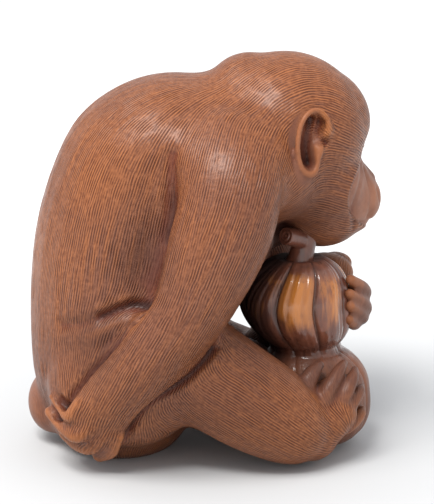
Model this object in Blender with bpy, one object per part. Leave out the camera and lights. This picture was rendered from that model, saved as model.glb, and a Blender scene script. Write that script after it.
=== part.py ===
"""A seated monkey hugging a ribbed double gourd, carved from one block of boxwood.

The figure faces +X, its left side is +Y, and it sits on the ground plane. A hundredth of
FIGURE_HEIGHT is the carver's unit: the pose, the girths and the cuts are given in it.
A station of a limb is (x, y, z, half width, half thickness).
"""

import math

import bmesh
import bpy
import numpy as np
from mathutils import Matrix, Vector

# Driving dimensions, in metres
FIGURE_HEIGHT = 0.100
GOURD_RIBS = 8

# Working fineness: the grid of the rough form, and the facets of the finished one
CLAY_VOXEL = 0.8
TRIANGLES = 9400

# Pose
HEAD_CENTRE = Vector((19.4, 0.0, 78.8))
HEAD_TURN = math.radians(18)
HEAD_NOD = math.radians(6)
EAR_CENTRE = (-2.0, 17.0, -2.8)

# The gourd: its bent axis, and for each bulb the middle height, half height, radius and fullness
GOURD_AXIS = ((25.4, 0.0, -0.6), (24.4, 0.0, 13.0), (23.4, 0.0, 20.0), (19.6, 0.0, 35.0),
              (20.8, -1.5, 47.0))
GOURD_BULBS = ((12.8, 13.1, 13.3, 2.8), (34.8, 12.3, 13.2, 2.2))
GOURD_WAIST = 8.5
RIB_DEPTH = 0.12
RIB_TURN = math.radians(23)
# The lower bulb is plainer: the share of the rib depth at two heights
RIB_HEIGHTS = (22.0, 27.0)
RIB_SHARES = (0.4, 1.0)
# The top dips towards the stem: from this height, within this radius, by this much
DIMPLE_HEIGHT = 40.0
DIMPLE_RADIUS = 6.0
DIMPLE_DEPTH = 2.2

# The far foot is tucked in behind the gourd: how far each foot is set forward, by side
FOOT_SHIFTS = {-1: 0.0, 1: -4.0}
# The big toe comes first, and a toe thins from root to tip
TOE_GIRTHS = (2.35, 1.95, 1.75, 1.6, 1.55)
TOE_TAPER = (1.0, 0.97, 0.86, 0.6)
FINGER_TAPER = 0.67

# Where neighbouring masses are rubbed into each other: middle and reach
BLENDS = (((2.0, 0.0, 82.0), 25.0), ((16.0, -18.0, 70.0), 13.0), ((16.0, 16.0, 68.0), 9.0),
          ((-9.0, -16.0, 6.0), 10.0))

# How many times the skin is rubbed: where masses blend, all over, and once carved
BLEND_ROUNDS = 35
POLISH_ROUNDS = 7
FINISH_ROUNDS = 3

# Finish of the wood
WOOD_COLOUR = (0.30, 0.095, 0.035, 1.0)
WOOD_ROUGHNESS = 0.42


def smooth_stations(stations, steps):
    """Stations along a Catmull-Rom curve through the given ones."""
    given = np.array(stations, float)
    ends = np.vstack([2 * given[0] - given[1], given, 2 * given[-1] - given[-2]])
    found = []
    for a, b, c, d in zip(ends[:-3], ends[1:-2], ends[2:-1], ends[3:]):
        for t in np.linspace(0, 1, steps, endpoint=False):
            found.append(0.5 * (2 * b + (c - a) * t + (2 * a - 5 * b + 4 * c - d) * t**2
                                + (3 * b - a - 3 * c + d) * t**3))
    found.append(given[-1])
    return np.array(found)


def unit_rows(rows):
    return rows / np.maximum(np.linalg.norm(rows, axis=-1, keepdims=True), 1e-9)


def add_loft(clay, stations, side=(0, 1, 0), steps=5, around=24, tip=1.0):
    """A limb: oval rings through the stations, closed by rounded ends."""
    path = smooth_stations(stations, steps)
    tangents = unit_rows(np.gradient(path[:, :3], axis=0))
    rings = []
    caps = np.radians((75, 55, 35, 15))
    first = [(path[0], tangents[0], math.cos(a), -math.sin(a)) for a in caps]
    body = [(station, tangent, 1.0, 0.0) for station, tangent in zip(path, tangents)]
    last = [(path[-1], tangents[-1], math.cos(a), math.sin(a)) for a in caps[::-1]]
    for station, tangent, shrink, push in first + body + last:
        across = unit_rows(np.array(side) - tangent * np.dot(side, tangent))
        thick = np.cross(tangent, across)
        reach = push * tip * min(station[3], station[4])
        angles = np.linspace(0, math.tau, around, endpoint=False)
        ring = (station[:3] + tangent * reach
                + np.outer(np.cos(angles), across) * station[3] * shrink
                + np.outer(np.sin(angles), thick) * station[4] * shrink)
        rings.append([clay.verts.new(point) for point in ring])
    for low, high in zip(rings, rings[1:]):
        for i in range(around):
            j = (i + 1) % around
            clay.faces.new((low[i], low[j], high[j], high[i]))
    clay.faces.new(rings[0][::-1])
    clay.faces.new(rings[-1])


def add_ball(clay, centre, radii, turn=(0, 0, 0)):
    """An egg: a sphere stretched to its radii and turned about Z, Y and X, in degrees."""
    spin = Matrix.Identity(4)
    for angle, axis in zip(turn, "ZYX"):
        spin = spin @ Matrix.Rotation(math.radians(angle), 4, axis)
    place = Matrix.Translation(centre) @ spin @ Matrix.Diagonal((*radii, 1))
    bmesh.ops.create_icosphere(clay, subdivisions=4, radius=1, matrix=place)


HEAD_AXES = Matrix.Rotation(HEAD_TURN, 3, "Z") @ Matrix.Rotation(HEAD_NOD, 3, "Y")
HEAD_SPIN = (math.degrees(HEAD_TURN), math.degrees(HEAD_NOD), 0)


def on_head(x, y, z):
    """A point given from the head's centre, along its own forward, left and up."""
    return HEAD_CENTRE + HEAD_AXES @ Vector((x, y, z))


def head_station(x, y, z, width, thickness):
    return (*on_head(x, y, z), width, thickness)


def add_torso(clay):
    add_loft(clay, [
        (-22.5, 0, 7.5, 18, 17.0), (-21.4, 0, 18, 23.5, 21.0), (-19.7, 0, 32, 25, 23.0),
        (-18.3, 0, 48, 24.5, 23.1), (-15.0, 0, 60.5, 24, 22.7), (-11.4, 0, 67.2, 23.5, 22.0),
        (-6.0, 0, 71.6, 22.5, 18.8), (4.0, 0, 75, 19, 14.2), (13.0, 0, 76.5, 16.5, 14.0)],
        tip=0.6)
    add_ball(clay, (-37.6, 3.0, 9.6), (6.4, 9.6, 7.8))
    add_ball(clay, (1.5, 0.0, 69.0), (18.0, 28.0, 17.0))
    add_ball(clay, (13.5, -4.0, 68.0), (13.0, 18.0, 12.5))
    add_ball(clay, (9.5, -15.0, 71.5), (10.0, 10.0, 11.0))
    add_ball(clay, (6.0, 12.0, 46.0), (8.5, 8.0, 10.0))
    add_ball(clay, (7.0, -3.0, 54.0), (8.0, 13.0, 11.5))
    add_ball(clay, (11.5, 4.0, 55.5), (9.8, 9.0, 9.0))
    add_ball(clay, (15.5, 15.0, 19.0), (8.0, 6.5, 8.0))
    add_ball(clay, (-5.0, 0.0, 47.0), (15.5, 22.5, 19.0))
    add_ball(clay, (3.0, 0.0, 14.5), (15.0, 13.5, 12.0))


def add_head(clay):
    add_ball(clay, on_head(-1.7, 0, -2.3), (18.7, 16.8, 17.2), (math.degrees(HEAD_TURN), 25, 0))
    add_ball(clay, (8.6, 0.0, 80.6), (11.5, 13.0, 13.2))
    add_ball(clay, on_head(3.6, 0, -1.5), (14.3, 13.0, 13.8), HEAD_SPIN)
    add_loft(clay, [head_station(4, 0, -8, 13.5, 13), head_station(9.5, 0, -14.0, 10.8, 10.8),
                    head_station(15.5, 0, -18.0, 7.9, 7.6)])
    add_ball(clay, on_head(8.5, 0, -19.0), (11.8, 10.6, 11.2), HEAD_SPIN)
    add_ball(clay, on_head(15.6, 0, -22.0), (5.6, 6.4, 4.8), HEAD_SPIN)
    add_ball(clay, on_head(16.9, 0, -18.4), (6.6, 6.8, 6.9), HEAD_SPIN)
    for side in (-1, 1):
        add_ball(clay, on_head(5, side * 6.2, -14), (11, 7.2, 10.5), (18, 20, 0))
        add_loft(clay, [head_station(14.6, side * 1.0, -3.0, 1.7, 1.9),
                        head_station(14.2, side * 4.6, -2.2, 2.0, 2.1),
                        head_station(11.4, side * 9.4, -2.8, 2.0, 1.9)], side=(0, 0, 1))
        add_ball(clay, on_head(13.8, side * 4.6, -5.2), (2.3, 2.3, 2.3))
        add_ear(clay, side)
    add_loft(clay, [head_station(13.6, 0, -3.0, 1.9, 1.8), head_station(14.6, 0, -8.0, 2.1, 1.8),
                    head_station(19.8, 0, -13.6, 2.9, 2.2)], around=12)


def ear_point(side, forward, up, out=0.0):
    """A point on the ear's own plane, which flares away from the head towards the back."""
    x, y, z = EAR_CENTRE
    flare = -0.35 * forward
    return on_head(x + forward, side * (y + flare + out), z + up)


def add_ear(clay, side):
    """A long dish with a thick rolled rim, open at the front."""
    rim = ((3.4, 1.8), (2.6, 4.8), (0.6, 6.4), (-2.4, 5.8), (-3.9, 3.0), (-4.1, -0.4), (-3.6, -3.6),
           (-1.8, -6.4), (0.4, -6.6), (1.2, -4.0))
    add_loft(clay, [(*ear_point(side, forward, up, 0.4), 1.4, 1.4) for forward, up in rim], around=12)
    add_loft(clay, [(*ear_point(side, 0.8, 3.8, -0.8), 2.6, 1.7),
                    (*ear_point(side, -0.4, 0.6, -1.0), 3.4, 1.7),
                    (*ear_point(side, -0.4, -4.2, -0.8), 2.2, 1.6)], side=(1, 0, 0), around=12)


def add_finger(clay, path, girth):
    """A finger from knuckle to tip, thinner at the tip."""
    taper = np.linspace(1.0, FINGER_TAPER, len(path))
    add_loft(clay, [(*point, girth * share, girth * share) for point, share in zip(path, taper)],
             side=(0, 0, 1), around=12)


def add_near_arm(clay):
    add_loft(clay, [
        (4.0, -14, 77, 11, 8), (4.6, -21, 70, 11.6, 8.6), (3.6, -24.5, 62, 11.4, 9.0),
        (0.6, -26.5, 53, 10.8, 9), (-4.6, -28, 41.0, 8.9, 8.2), (-10.0, -28.3, 33.8, 8.0, 7.8),
        (-16.4, -27.5, 26.1, 7.5, 7.2), (-21.6, -25.2, 19.6, 7.7, 6.4), (-25.2, -22.8, 14.2, 8.1, 5.6),
        (-27.2, -21.0, 11.0, 7.4, 4.8)], side=(1, 0, 0), tip=0.5)
    for finger in (
            ((-22.0, -27.5, 22.0), (-28.0, -26.8, 19.2), (-31.2, -25.4, 15.4), (-35.0, -20.4, 17.6)),
            ((-24.4, -27.0, 16.9), (-29.4, -25.6, 11.2), (-32.6, -23.4, 11.6), (-36.5, -19.0, 13.8)),
            ((-22.8, -25.8, 12.2), (-26.9, -23.4, 7.6), (-30.2, -20.6, 7.0), (-33.4, -17.4, 8.2)),
            ((-20.8, -25.4, 11.6), (-22.6, -23.0, 6.8), (-25.4, -19.6, 4.2))):
        add_finger(clay, finger, 2.3)


def add_far_arm(clay):
    add_loft(clay, [
        (4.0, 14, 75, 10, 8), (6.0, 21, 69, 10.5, 9), (8.5, 25.5, 59, 10, 9.4), (12.0, 26.5, 48, 9, 9.4),
        (15.6, 25.2, 39, 8.5, 9.2), (22.0, 22.5, 34.5, 7.2, 8.0), (28.0, 17.5, 33.5, 6.0, 6.0),
        (31.4, 11.0, 34.2, 6.6, 3.6)], side=(0, 0, 1), tip=0.3)
    for finger in (
            ((30.0, 12.0, 38.4), (35.8, 7.8, 35.0), (35.4, 2.8, 37.4), (32.4, -3.0, 41.0)),
            ((31.0, 12.6, 34.4), (36.0, 7.6, 31.2), (35.6, 2.2, 33.8), (32.2, -4.0, 37.8)),
            ((31.0, 12.6, 31.4), (35.4, 6.8, 29.4), (35.0, 1.6, 31.4), (32.4, -4.0, 34.8)),
            ((30.0, 12.6, 29.6), (33.8, 6.2, 28.4), (33.6, 1.0, 29.2), (32.2, -3.4, 31.4))):
        add_finger(clay, finger, 2.2)
    add_ball(clay, (29.6, 11.0, 41.4), (4.2, 3.4, 2.8))
    add_ball(clay, (27.0, 8.5, 39.6), (7.0, 5.0, 5.0))


def add_near_leg(clay):
    add_ball(clay, (-18.5, -14.0, 21.0), (17.0, 15.0, 16.5))
    add_loft(clay, [(-24, -13, 18.5, 14, 15), (-14, -17, 23.5, 12.5, 15.5), (-4, -19.5, 27.0, 11, 13.5)])
    add_loft(clay, [(-5.0, -20, 26.5, 10.5, 12.4), (3.5, -20.5, 20.6, 10, 12.0),
                    (12.5, -19.5, 14.8, 9.4, 11.2), (19.5, -17.5, 9.8, 8.2, 9.4),
                    (23.5, -15.5, 7.6, 6.2, 6.8)])
    add_foot(clay, -1)


def add_far_leg(clay):
    add_loft(clay, [(-24, 13, 17, 14, 15), (-13, 18, 19, 12.5, 14), (-2, 22, 15.5, 10.5, 10.8)])
    add_loft(clay, [(-2, 22, 15.5, 10, 10.2), (8.0, 21.5, 12.6, 9, 9.2), (17.0, 19.0, 9.2, 8.4, 9.2),
                    (23.5, 15.5, 6.8, 6.2, 7.0)])
    add_foot(clay, 1)


def add_foot(clay, side):
    """A grasping foot: its sole lies on the lower bulb, the toes curl round it."""
    shift = FOOT_SHIFTS[side]
    add_loft(clay, [(21.0 + shift, side * 15.5, 7.6, 5.5, 5.6),
                    (26.0 + shift, side * 15.8, 10.8, 5.0, 6.0),
                    (29.2 + shift, side * 14.8, 13.2, 4.2, 5.2)])
    add_loft(clay, [(22.0 + shift, side * 14.5, 10.0, 4.0, 4.0),
                    (25.6 + shift, side * 14.6, 16.5, 4.2, 3.4),
                    (29.4 + shift, side * 12.6, 18.4, 3.8, 3.0)])
    toes = (
        ((20.0, 17.0, 14.5), (21.2, 17.6, 19.2), (23.0, 16.2, 22.2), (24.8, 14.0, 23.6)),
        ((24.2, 17.6, 12.8), (26.2, 18.0, 18.0), (29.0, 15.0, 22.0), (30.6, 11.6, 23.4)),
        ((28.0, 16.4, 12.4), (30.6, 16.2, 17.0), (32.4, 13.6, 20.2), (33.2, 10.6, 21.6)),
        ((29.8, 15.6, 10.6), (32.4, 14.8, 14.6), (34.2, 11.8, 16.4), (35.0, 9.0, 16.8)),
        ((28.6, 14.8, 7.4), (32.0, 13.6, 8.8), (34.6, 10.6, 10.4), (35.4, 8.4, 11.2)))
    for girth, toe in zip(TOE_GIRTHS, toes):
        add_loft(clay, [(x + shift, side * y, z, girth * share, girth * share)
                        for (x, y, z), share in zip(toe, TOE_TAPER)], around=12)


def add_gourd(clay):
    """Two ribbed bulbs, the small one on top, round a gently bent axis, and its cut stem."""
    axis = smooth_stations(GOURD_AXIS, 12)
    foot, top = axis[0][2], axis[-1][2]
    around = 8 * GOURD_RIBS
    levels = 40
    rings = []
    for i in range(levels + 1):
        height = foot + (top - foot) * 0.5 * (1 - math.cos(math.pi * i / levels))
        middle_x, middle_y = (np.interp(height, axis[:, 2], axis[:, k]) for k in (0, 1))
        bulges = [girth * max(0.0, 1 - abs((height - level) / half) ** fullness) ** 0.5
                  for level, half, girth, fullness in GOURD_BULBS]
        in_waist = GOURD_BULBS[0][0] < height < GOURD_BULBS[1][0]
        radius = max(*bulges, GOURD_WAIST if in_waist else 0.4)
        in_top = height > DIMPLE_HEIGHT
        dimple = DIMPLE_DEPTH * max(0.0, 1 - radius / DIMPLE_RADIUS) if in_top else 0.0
        depth = RIB_DEPTH * np.interp(height, RIB_HEIGHTS, RIB_SHARES)
        ring = []
        for j in range(around):
            angle = math.tau * j / around
            rib = 1 - depth * (1 - abs(math.sin(GOURD_RIBS * (angle - RIB_TURN) / 2)) ** 0.6)
            ring.append(clay.verts.new((middle_x + radius * rib * math.cos(angle),
                                        middle_y + radius * rib * math.sin(angle), height - dimple)))
        rings.append(ring)
    for low, high in zip(rings, rings[1:]):
        for i in range(around):
            j = (i + 1) % around
            clay.faces.new((low[i], low[j], high[j], high[i]))
    clay.faces.new(rings[0][::-1])
    clay.faces.new(rings[-1])
    add_loft(clay, [(20.4, -2.2, 42.4, 5.4, 5.4), (20.6, -2.8, 45.2, 3.5, 3.5),
                    (21.2, -3.0, 48.2, 2.8, 2.9), (22.4, -2.6, 54.0, 3.0, 3.2)],
             side=(1, 0, 0), around=12, tip=0.3)
    add_loft(clay, [(21.6, -3.4, 50.4, 2.4, 2.3), (19.4, -5.8, 51.7, 2.2, 2.2),
                    (17.0, -8.2, 52.6, 2.2, 2.2)], around=12, tip=0.2)


def mesh_from(clay, name):
    bmesh.ops.recalc_face_normals(clay, faces=clay.faces)
    mesh = bpy.data.meshes.new(name)
    clay.to_mesh(mesh)
    clay.free()
    return mesh


def remeshed(mesh, voxel):
    """The union of all the forms in a mesh, as one even skin."""
    holder = bpy.data.objects.new("holder", mesh)
    bpy.context.scene.collection.objects.link(holder)
    skin = holder.modifiers.new("union", "REMESH")
    skin.mode = "VOXEL"
    skin.voxel_size = voxel
    skin.adaptivity = 0
    depsgraph = bpy.context.evaluated_depsgraph_get()
    united = bpy.data.meshes.new_from_object(holder.evaluated_get(depsgraph))
    bpy.data.objects.remove(holder)
    return united


def read_vectors(collection, field):
    values = np.empty(len(collection) * 3, np.float32)
    collection.foreach_get(field, values)
    return values.reshape(-1, 3).astype(float)


def write_points(mesh, points):
    mesh.vertices.foreach_set("co", points.astype(np.float32).ravel())
    mesh.update()


def edge_ends(mesh):
    ends = np.empty(len(mesh.edges) * 2, np.int32)
    mesh.edges.foreach_get("vertices", ends)
    return ends.reshape(-1, 2)


def relax(mesh, rounds, fill, wear, middle=None, reach=1.0):
    """Rubs the skin smooth: hollows fill by one share of the way, bumps wear by another.
    With a middle the rubbing fades out at the reach from it."""
    ends = edge_ends(mesh)
    starts, stops = np.r_[ends[:, 0], ends[:, 1]], np.r_[ends[:, 1], ends[:, 0]]
    points = read_vectors(mesh.vertices, "co")
    count = np.bincount(starts, minlength=len(points))[:, None]
    local = 1.0
    if middle is not None:
        local = np.exp(-((np.linalg.norm(points - middle, axis=1) / reach) ** 4))[:, None]
    for _ in range(rounds):
        total = np.stack([np.bincount(starts, points[stops, k], len(points)) for k in range(3)], 1)
        move = total / count - points
        normals = read_vectors(mesh.vertex_normals, "vector")
        outward = np.einsum("ij,ij->i", move, normals)[:, None]
        share = np.where(outward > 0, fill, wear) * local
        points = points + move * share
        write_points(mesh, points)


def distance_to_path(points, path):
    """Distance from each point to a smooth line through the path's points."""
    line = smooth_stations(path, 6)
    best = np.full(len(points), np.inf)
    for a, b in zip(line, line[1:]):
        run = b - a
        t = np.clip((points - a) @ run / (run @ run), 0, 1)
        best = np.minimum(best, np.linalg.norm(points - a - t[:, None] * run, axis=1))
    return best


def cut(mesh, path, width, depth):
    """A rounded groove along a path, or a raised cord where the depth is negative."""
    points = read_vectors(mesh.vertices, "co")
    normals = read_vectors(mesh.vertex_normals, "vector")
    amount = depth * np.exp(-((distance_to_path(points, path) / width) ** 2))
    write_points(mesh, points - normals * amount[:, None])


def hollow(mesh, centre, radius, depth):
    cut(mesh, [centre, np.array(centre) + 1e-3], radius, depth)


def carve_face(mesh):
    """Eyes, nostrils, ear dishes and mouth."""
    for side in (-1, 1):
        hollow(mesh, on_head(15.4, side * 3.2, -5.5), 1.9, 0.9)
        hollow(mesh, on_head(23.2, side * 1.6, -17.6), 0.9, 0.7)
        dish = [ear_point(side, -0.7, 4.0), ear_point(side, -1.0, 0.0), ear_point(side, -1.1, -4.4)]
        cut(mesh, dish, 1.7, 1.0)
    cut(mesh, [on_head(14.4, -8.6, -22.6), on_head(19.4, -5.6, -23.8), on_head(22.6, 0, -24.0),
               on_head(19.4, 5.6, -23.8), on_head(14.4, 8.6, -22.6)], 0.9, 0.5)


def carve_monkey():
    """The whole carving as one skin, standing on z = 0 with its box centred on the origin."""
    clay = bmesh.new()
    for add in (add_torso, add_head, add_near_arm, add_far_arm, add_near_leg, add_far_leg):
        add(clay)
    body = remeshed(mesh_from(clay, "body"), CLAY_VOXEL)
    for middle, reach in BLENDS:
        relax(body, BLEND_ROUNDS, 0.8, 0.15, middle, reach)
    relax(body, POLISH_ROUNDS, 0.5, 0.2)
    clay = bmesh.new()
    clay.from_mesh(body)
    add_gourd(clay)
    carving = remeshed(mesh_from(clay, "carving"), CLAY_VOXEL)
    relax(carving, FINISH_ROUNDS, 0.35, 0.15)
    carve_face(carving)
    points = read_vectors(carving.vertices, "co")
    kept = points[points[:, 2] > 0]
    middle = (kept.min(0) + kept.max(0)) / 2
    points -= (middle[0], middle[1], 0)
    write_points(carving, points * FIGURE_HEIGHT / points[:, 2].max())
    return carving


def make_wood():
    wood = bpy.data.materials.new("boxwood")
    wood.use_nodes = True
    shader = wood.node_tree.nodes["Principled BSDF"]
    shader.inputs["Base Color"].default_value = WOOD_COLOUR
    shader.inputs["Roughness"].default_value = WOOD_ROUGHNESS
    shader.inputs["Metallic"].default_value = 0.0
    return wood


def make_ground():
    """The cutter that leaves the flats which the figure stands on."""
    clay = bmesh.new()
    size = 3 * FIGURE_HEIGHT
    bmesh.ops.create_cube(clay, size=size, matrix=Matrix.Translation((0, 0, -size / 2)))
    ground = bpy.data.objects.new("ground_cutter", mesh_from(clay, "ground_cutter"))
    bpy.context.scene.collection.objects.link(ground)
    ground.hide_render = True
    ground.display_type = "WIRE"
    return ground


def make_figure():
    carving = carve_monkey()
    carving.name = "monkey_with_gourd"
    carving.materials.clear()
    carving.materials.append(make_wood())
    figure = bpy.data.objects.new("monkey_with_gourd", carving)
    bpy.context.scene.collection.objects.link(figure)
    coarse = figure.modifiers.new("facets", "DECIMATE")
    coarse.ratio = TRIANGLES / (2 * len(carving.polygons))
    flats = figure.modifiers.new("flats", "BOOLEAN")
    flats.object = make_ground()
    flats.operation = "DIFFERENCE"
    flats.solver = "EXACT"
    return figure


for old in list(bpy.data.objects):
    bpy.data.objects.remove(old)
make_figure()
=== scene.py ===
"""The seated monkey and its ribbed gourd with the full carving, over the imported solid.

The figure faces +X and its left side is +Y. Forms are given in the carver's unit, a hundredth of
the figure's height, and brought onto the solid's own box at the end. A station of a limb is
(x, y, z, half width, half thickness).
"""

import math

import bmesh
import bpy
import numpy as np
from mathutils import Matrix, Vector
from mathutils.kdtree import KDTree


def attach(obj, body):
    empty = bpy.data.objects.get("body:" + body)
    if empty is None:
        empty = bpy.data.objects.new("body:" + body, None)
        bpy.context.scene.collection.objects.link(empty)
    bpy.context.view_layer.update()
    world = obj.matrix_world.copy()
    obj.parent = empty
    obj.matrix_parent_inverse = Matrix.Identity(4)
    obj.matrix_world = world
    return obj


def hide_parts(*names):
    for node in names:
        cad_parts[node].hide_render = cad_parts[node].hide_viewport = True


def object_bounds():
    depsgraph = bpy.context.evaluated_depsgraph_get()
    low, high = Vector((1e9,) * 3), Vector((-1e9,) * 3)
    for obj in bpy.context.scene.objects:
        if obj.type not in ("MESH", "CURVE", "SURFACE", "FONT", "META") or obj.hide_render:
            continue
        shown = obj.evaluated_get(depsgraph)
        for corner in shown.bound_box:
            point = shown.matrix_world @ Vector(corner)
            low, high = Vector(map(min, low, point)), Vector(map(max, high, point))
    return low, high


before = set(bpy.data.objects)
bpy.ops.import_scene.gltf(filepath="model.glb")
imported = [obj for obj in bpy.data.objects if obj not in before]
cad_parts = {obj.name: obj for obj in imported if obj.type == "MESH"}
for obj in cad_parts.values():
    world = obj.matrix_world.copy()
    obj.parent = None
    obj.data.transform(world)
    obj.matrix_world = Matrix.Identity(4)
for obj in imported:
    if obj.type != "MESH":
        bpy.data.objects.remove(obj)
SOLID_LOW, SOLID_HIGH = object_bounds()

# Working fineness, in the carver's unit
ROUGH_VOXEL = 0.8
FINE_VOXEL = 0.35

# Pose
HEAD_CENTRE = Vector((19.4, 0.0, 78.8))
HEAD_TURN = math.radians(18)
HEAD_NOD = math.radians(6)
EAR_CENTRE = (-2.0, 17.0, -2.8)
GOURD_AXIS = ((25.4, 0.0, -0.6), (24.4, 0.0, 13.0), (23.4, 0.0, 20.0), (19.6, 0.0, 35.0),
              (20.8, -1.5, 47.0))

# The camera, in the carver's unit
CAMERA_AIM = (1.322, 0.0, 46.82)
CAMERA_REACH = 428.7
CAMERA_RISE = math.radians(14)
LENS_MM = 131.14
SENSOR_MM = 36

# The gourd: level, half height, girth and fullness of each bulb
GOURD_BULBS = ((12.8, 13.1, 13.3, 2.8), (34.8, 12.3, 13.2, 2.2))
GOURD_WAIST = 8.5
GOURD_RIBS = 8
RIB_DEPTH = 0.11
RIB_TURN = math.radians(23)
# Where round the gourd, in degrees, the amber of the bare wood shows, and how strongly
AMBER_RIBS = ((-90, 1.0), (-46, 0.42), (-136, 0.3), (10, 0.5), (90, 0.8), (135, 0.5))
STEM = ((20.4, -2.2, 42.4, 5.4, 5.4), (20.6, -2.8, 45.2, 3.5, 3.5), (21.2, -3.0, 48.2, 2.8, 2.9),
        (22.4, -2.6, 54.0, 3.0, 3.2))
STEM_BRANCH = ((21.6, -3.4, 50.4, 2.4, 2.3), (19.4, -5.8, 51.7, 2.2, 2.2), (17.0, -8.2, 52.6, 2.1, 2.1))
# Points round the gourd and levels of it
GOURD_MESH = ((384, 190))

# The engraved coat, in metres
STROKE_PITCH = 0.00092
STROKE_REACH = 0.0040
STROKE_DEPTH = 0.00016
HAIR_PITCH = 0.00064
HAIR_REACH = 0.0036
STREAK_PITCH = 0.0026
STREAK_REACH = 0.014
COMBINGS = 60

# Where neighbouring masses are rubbed into each other: middle and reach
BLENDS = (((2.0, 0.0, 82.0), 25.0), ((16.0, -18.0, 70.0), 13.0), ((16.0, 16.0, 68.0), 9.0),
          ((-9.0, -16.0, 6.0), 10.0))

# The same over fingers and toes
DETAIL_BLENDS = (((26.0, -17.0, 14.0), 9.0), ((22.0, 17.0, 14.0), 9.0), ((34.0, 5.0, 33.0), 9.0),
                 ((-27.0, -23.0, 11.0), 9.0))

# Where dark wax has gathered, and where shade is painted, most of all in the hollow between chest, arms and
# gourd: middle, reach and share
WAX_AND_SHADE_SPOTS = (((-24.0, -25.0, 30.0), 9.0, 0.42), ((6.0, -28.0, 22.0), 13.0, 0.30),
          ((12.0, 0.0, 40.0), 17.0, 0.9), ((-12.0, -24.0, 52.0), 9.0, 0.30),
          ((20.0, -10.0, 58.0), 9.0, 0.35), ((-24.0, 25.0, 30.0), 8.5, 0.40),
          ((6.0, 28.0, 16.0), 12.0, 0.30), ((13.0, 1.0, 54.0), 10.0, 1.0),
          ((14.0, 6.0, 20.0), 10.0, 1.0))

# Colours of the wood, each from its dark to its light places
FUR_RIDGES = ((0.196, 0.073, 0.038), (0.325, 0.113, 0.038))
FUR_FLOORS = ((0.072, 0.024, 0.014), (0.115, 0.032, 0.012))
BARE_SKIN = ((0.145, 0.056, 0.034), (0.24, 0.094, 0.052))
FACE_SKIN = ((0.20, 0.088, 0.058), (0.31, 0.140, 0.086))
WORN_EDGE = (0.44, 0.150, 0.044)
# Reddish wax and painted shade in the hollows
RED_HOLLOW_WAX_AND_SHADE = (0.110, 0.022, 0.012)
DARK_TOE = (0.075, 0.033, 0.026)
# Dark wax with painted shade, laid on at the spots above
DARK_WAX_AND_SHADE = (0.040, 0.016, 0.013)
# Near-black painted shade in the deepest hollows
DEEP_HOLLOW_SHADE = (0.030, 0.010, 0.008)
GOURD_RIND = ((0.085, 0.030, 0.020), (0.20, 0.066, 0.036))
GOURD_FOOT = ((0.115, 0.042, 0.024), (0.22, 0.078, 0.034))
GOURD_AMBER = (0.50, 0.175, 0.032)
GOURD_STREAK = (0.040, 0.015, 0.010)
GOURD_GROOVE = (0.030, 0.011, 0.008)
# Painted shade on the gourd's side against the chest
GOURD_SHADE = (0.026, 0.010, 0.008)

# The floor's paper from near to far, and how far off, in metres, it is palest; the paper is painted darker
# near the figure, a painted shade against the lamps' brighter light there
PAPER = ((0.52, 0.53, 0.54), (0.965, 0.97, 0.975))
PAPER_PALES_AT = 0.42

# Heights, in shares of the figure, at which the skin is parted into pieces
COURSES = (0.0, 0.165, 0.33, 0.53, 0.72, 1.0)
COURSE_NAMES = ("monkey_seat", "monkey_knees", "monkey_waist", "monkey_shoulders", "monkey_head")

# How far, in metres, the carving stays below the top of the solid
CLEARANCE = 0.0001

# Rounded masses of pad, chest, neck, belly, back and seat: middle and radii
BODY_BALLS = (((-37.6, 3.0, 9.6), (6.4, 9.6, 7.8)), ((1.5, 0.0, 69.0), (18.0, 28.0, 17.0)),
              ((13.5, -4.0, 68.0), (13.0, 18.0, 12.5)), ((9.5, -15.0, 71.5), (10.0, 10.0, 11.0)),
              ((6.0, 12.0, 46.0), (8.5, 8.0, 10.0)), ((7.0, -3.0, 54.0), (8.0, 13.0, 11.5)),
              ((11.5, 4.0, 55.5), (9.8, 9.0, 9.0)), ((15.5, 15.0, 19.0), (8.0, 6.5, 8.0)),
              ((-5.0, 0.0, 47.0), (15.5, 22.5, 19.0)), ((3.0, 0.0, 14.5), (15.0, 13.5, 12.0)))

TORSO = ((-22.5, 0, 7.5, 18, 17.0), (-21.4, 0, 18, 23.5, 21.0), (-19.7, 0, 32, 25, 23.0),
         (-18.3, 0, 48, 24.5, 23.1), (-15.0, 0, 60.5, 24, 22.7), (-11.4, 0, 67.2, 23.5, 22.0),
         (-6.0, 0, 71.6, 22.5, 18.8), (4.0, 0, 75, 19, 14.2), (13.0, 0, 76.5, 16.5, 14.0))
NEAR_ARM = ((4.0, -14, 77, 11, 8), (4.6, -21, 70, 11.6, 8.6), (3.6, -24.5, 62, 11.4, 9.0),
            (0.6, -26.5, 53, 10.8, 9), (-4.6, -28, 41.0, 8.9, 8.2), (-10.0, -28.3, 33.8, 8.0, 7.8),
            (-16.4, -27.5, 26.1, 7.5, 7.2), (-21.6, -25.2, 19.6, 7.7, 6.4), (-25.2, -22.8, 14.2, 8.1, 5.6),
            (-27.2, -21.0, 11.0, 7.4, 4.8))
FAR_ARM = ((4.0, 14, 75, 10, 8), (6.0, 21, 69, 10.5, 9), (8.5, 25.5, 59, 10, 9.4), (12.0, 26.5, 48, 9, 9.4),
           (15.6, 25.2, 39, 8.5, 9.2), (22.0, 22.5, 34.5, 7.2, 8.0), (28.0, 17.5, 33.5, 6.0, 6.0),
           (31.4, 11.0, 34.2, 6.6, 3.6))
NEAR_THIGH = ((-24, -13, 18.5, 14, 15), (-14, -17, 23.5, 12.5, 15.5), (-4, -19.5, 27.0, 11, 13.5))
NEAR_SHIN = ((-5.0, -20, 26.5, 10.5, 12.4), (3.5, -20.5, 20.6, 10, 12.0), (12.5, -19.5, 14.6, 9.4, 11.2),
             (19.5, -17.5, 9.8, 8.2, 9.4), (23.5, -15.5, 7.6, 6.2, 6.8))
FAR_THIGH = ((-24, 13, 17, 14, 15), (-13, 18, 19, 12.5, 14), (-2, 22, 15.5, 10.5, 10.8))
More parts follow.
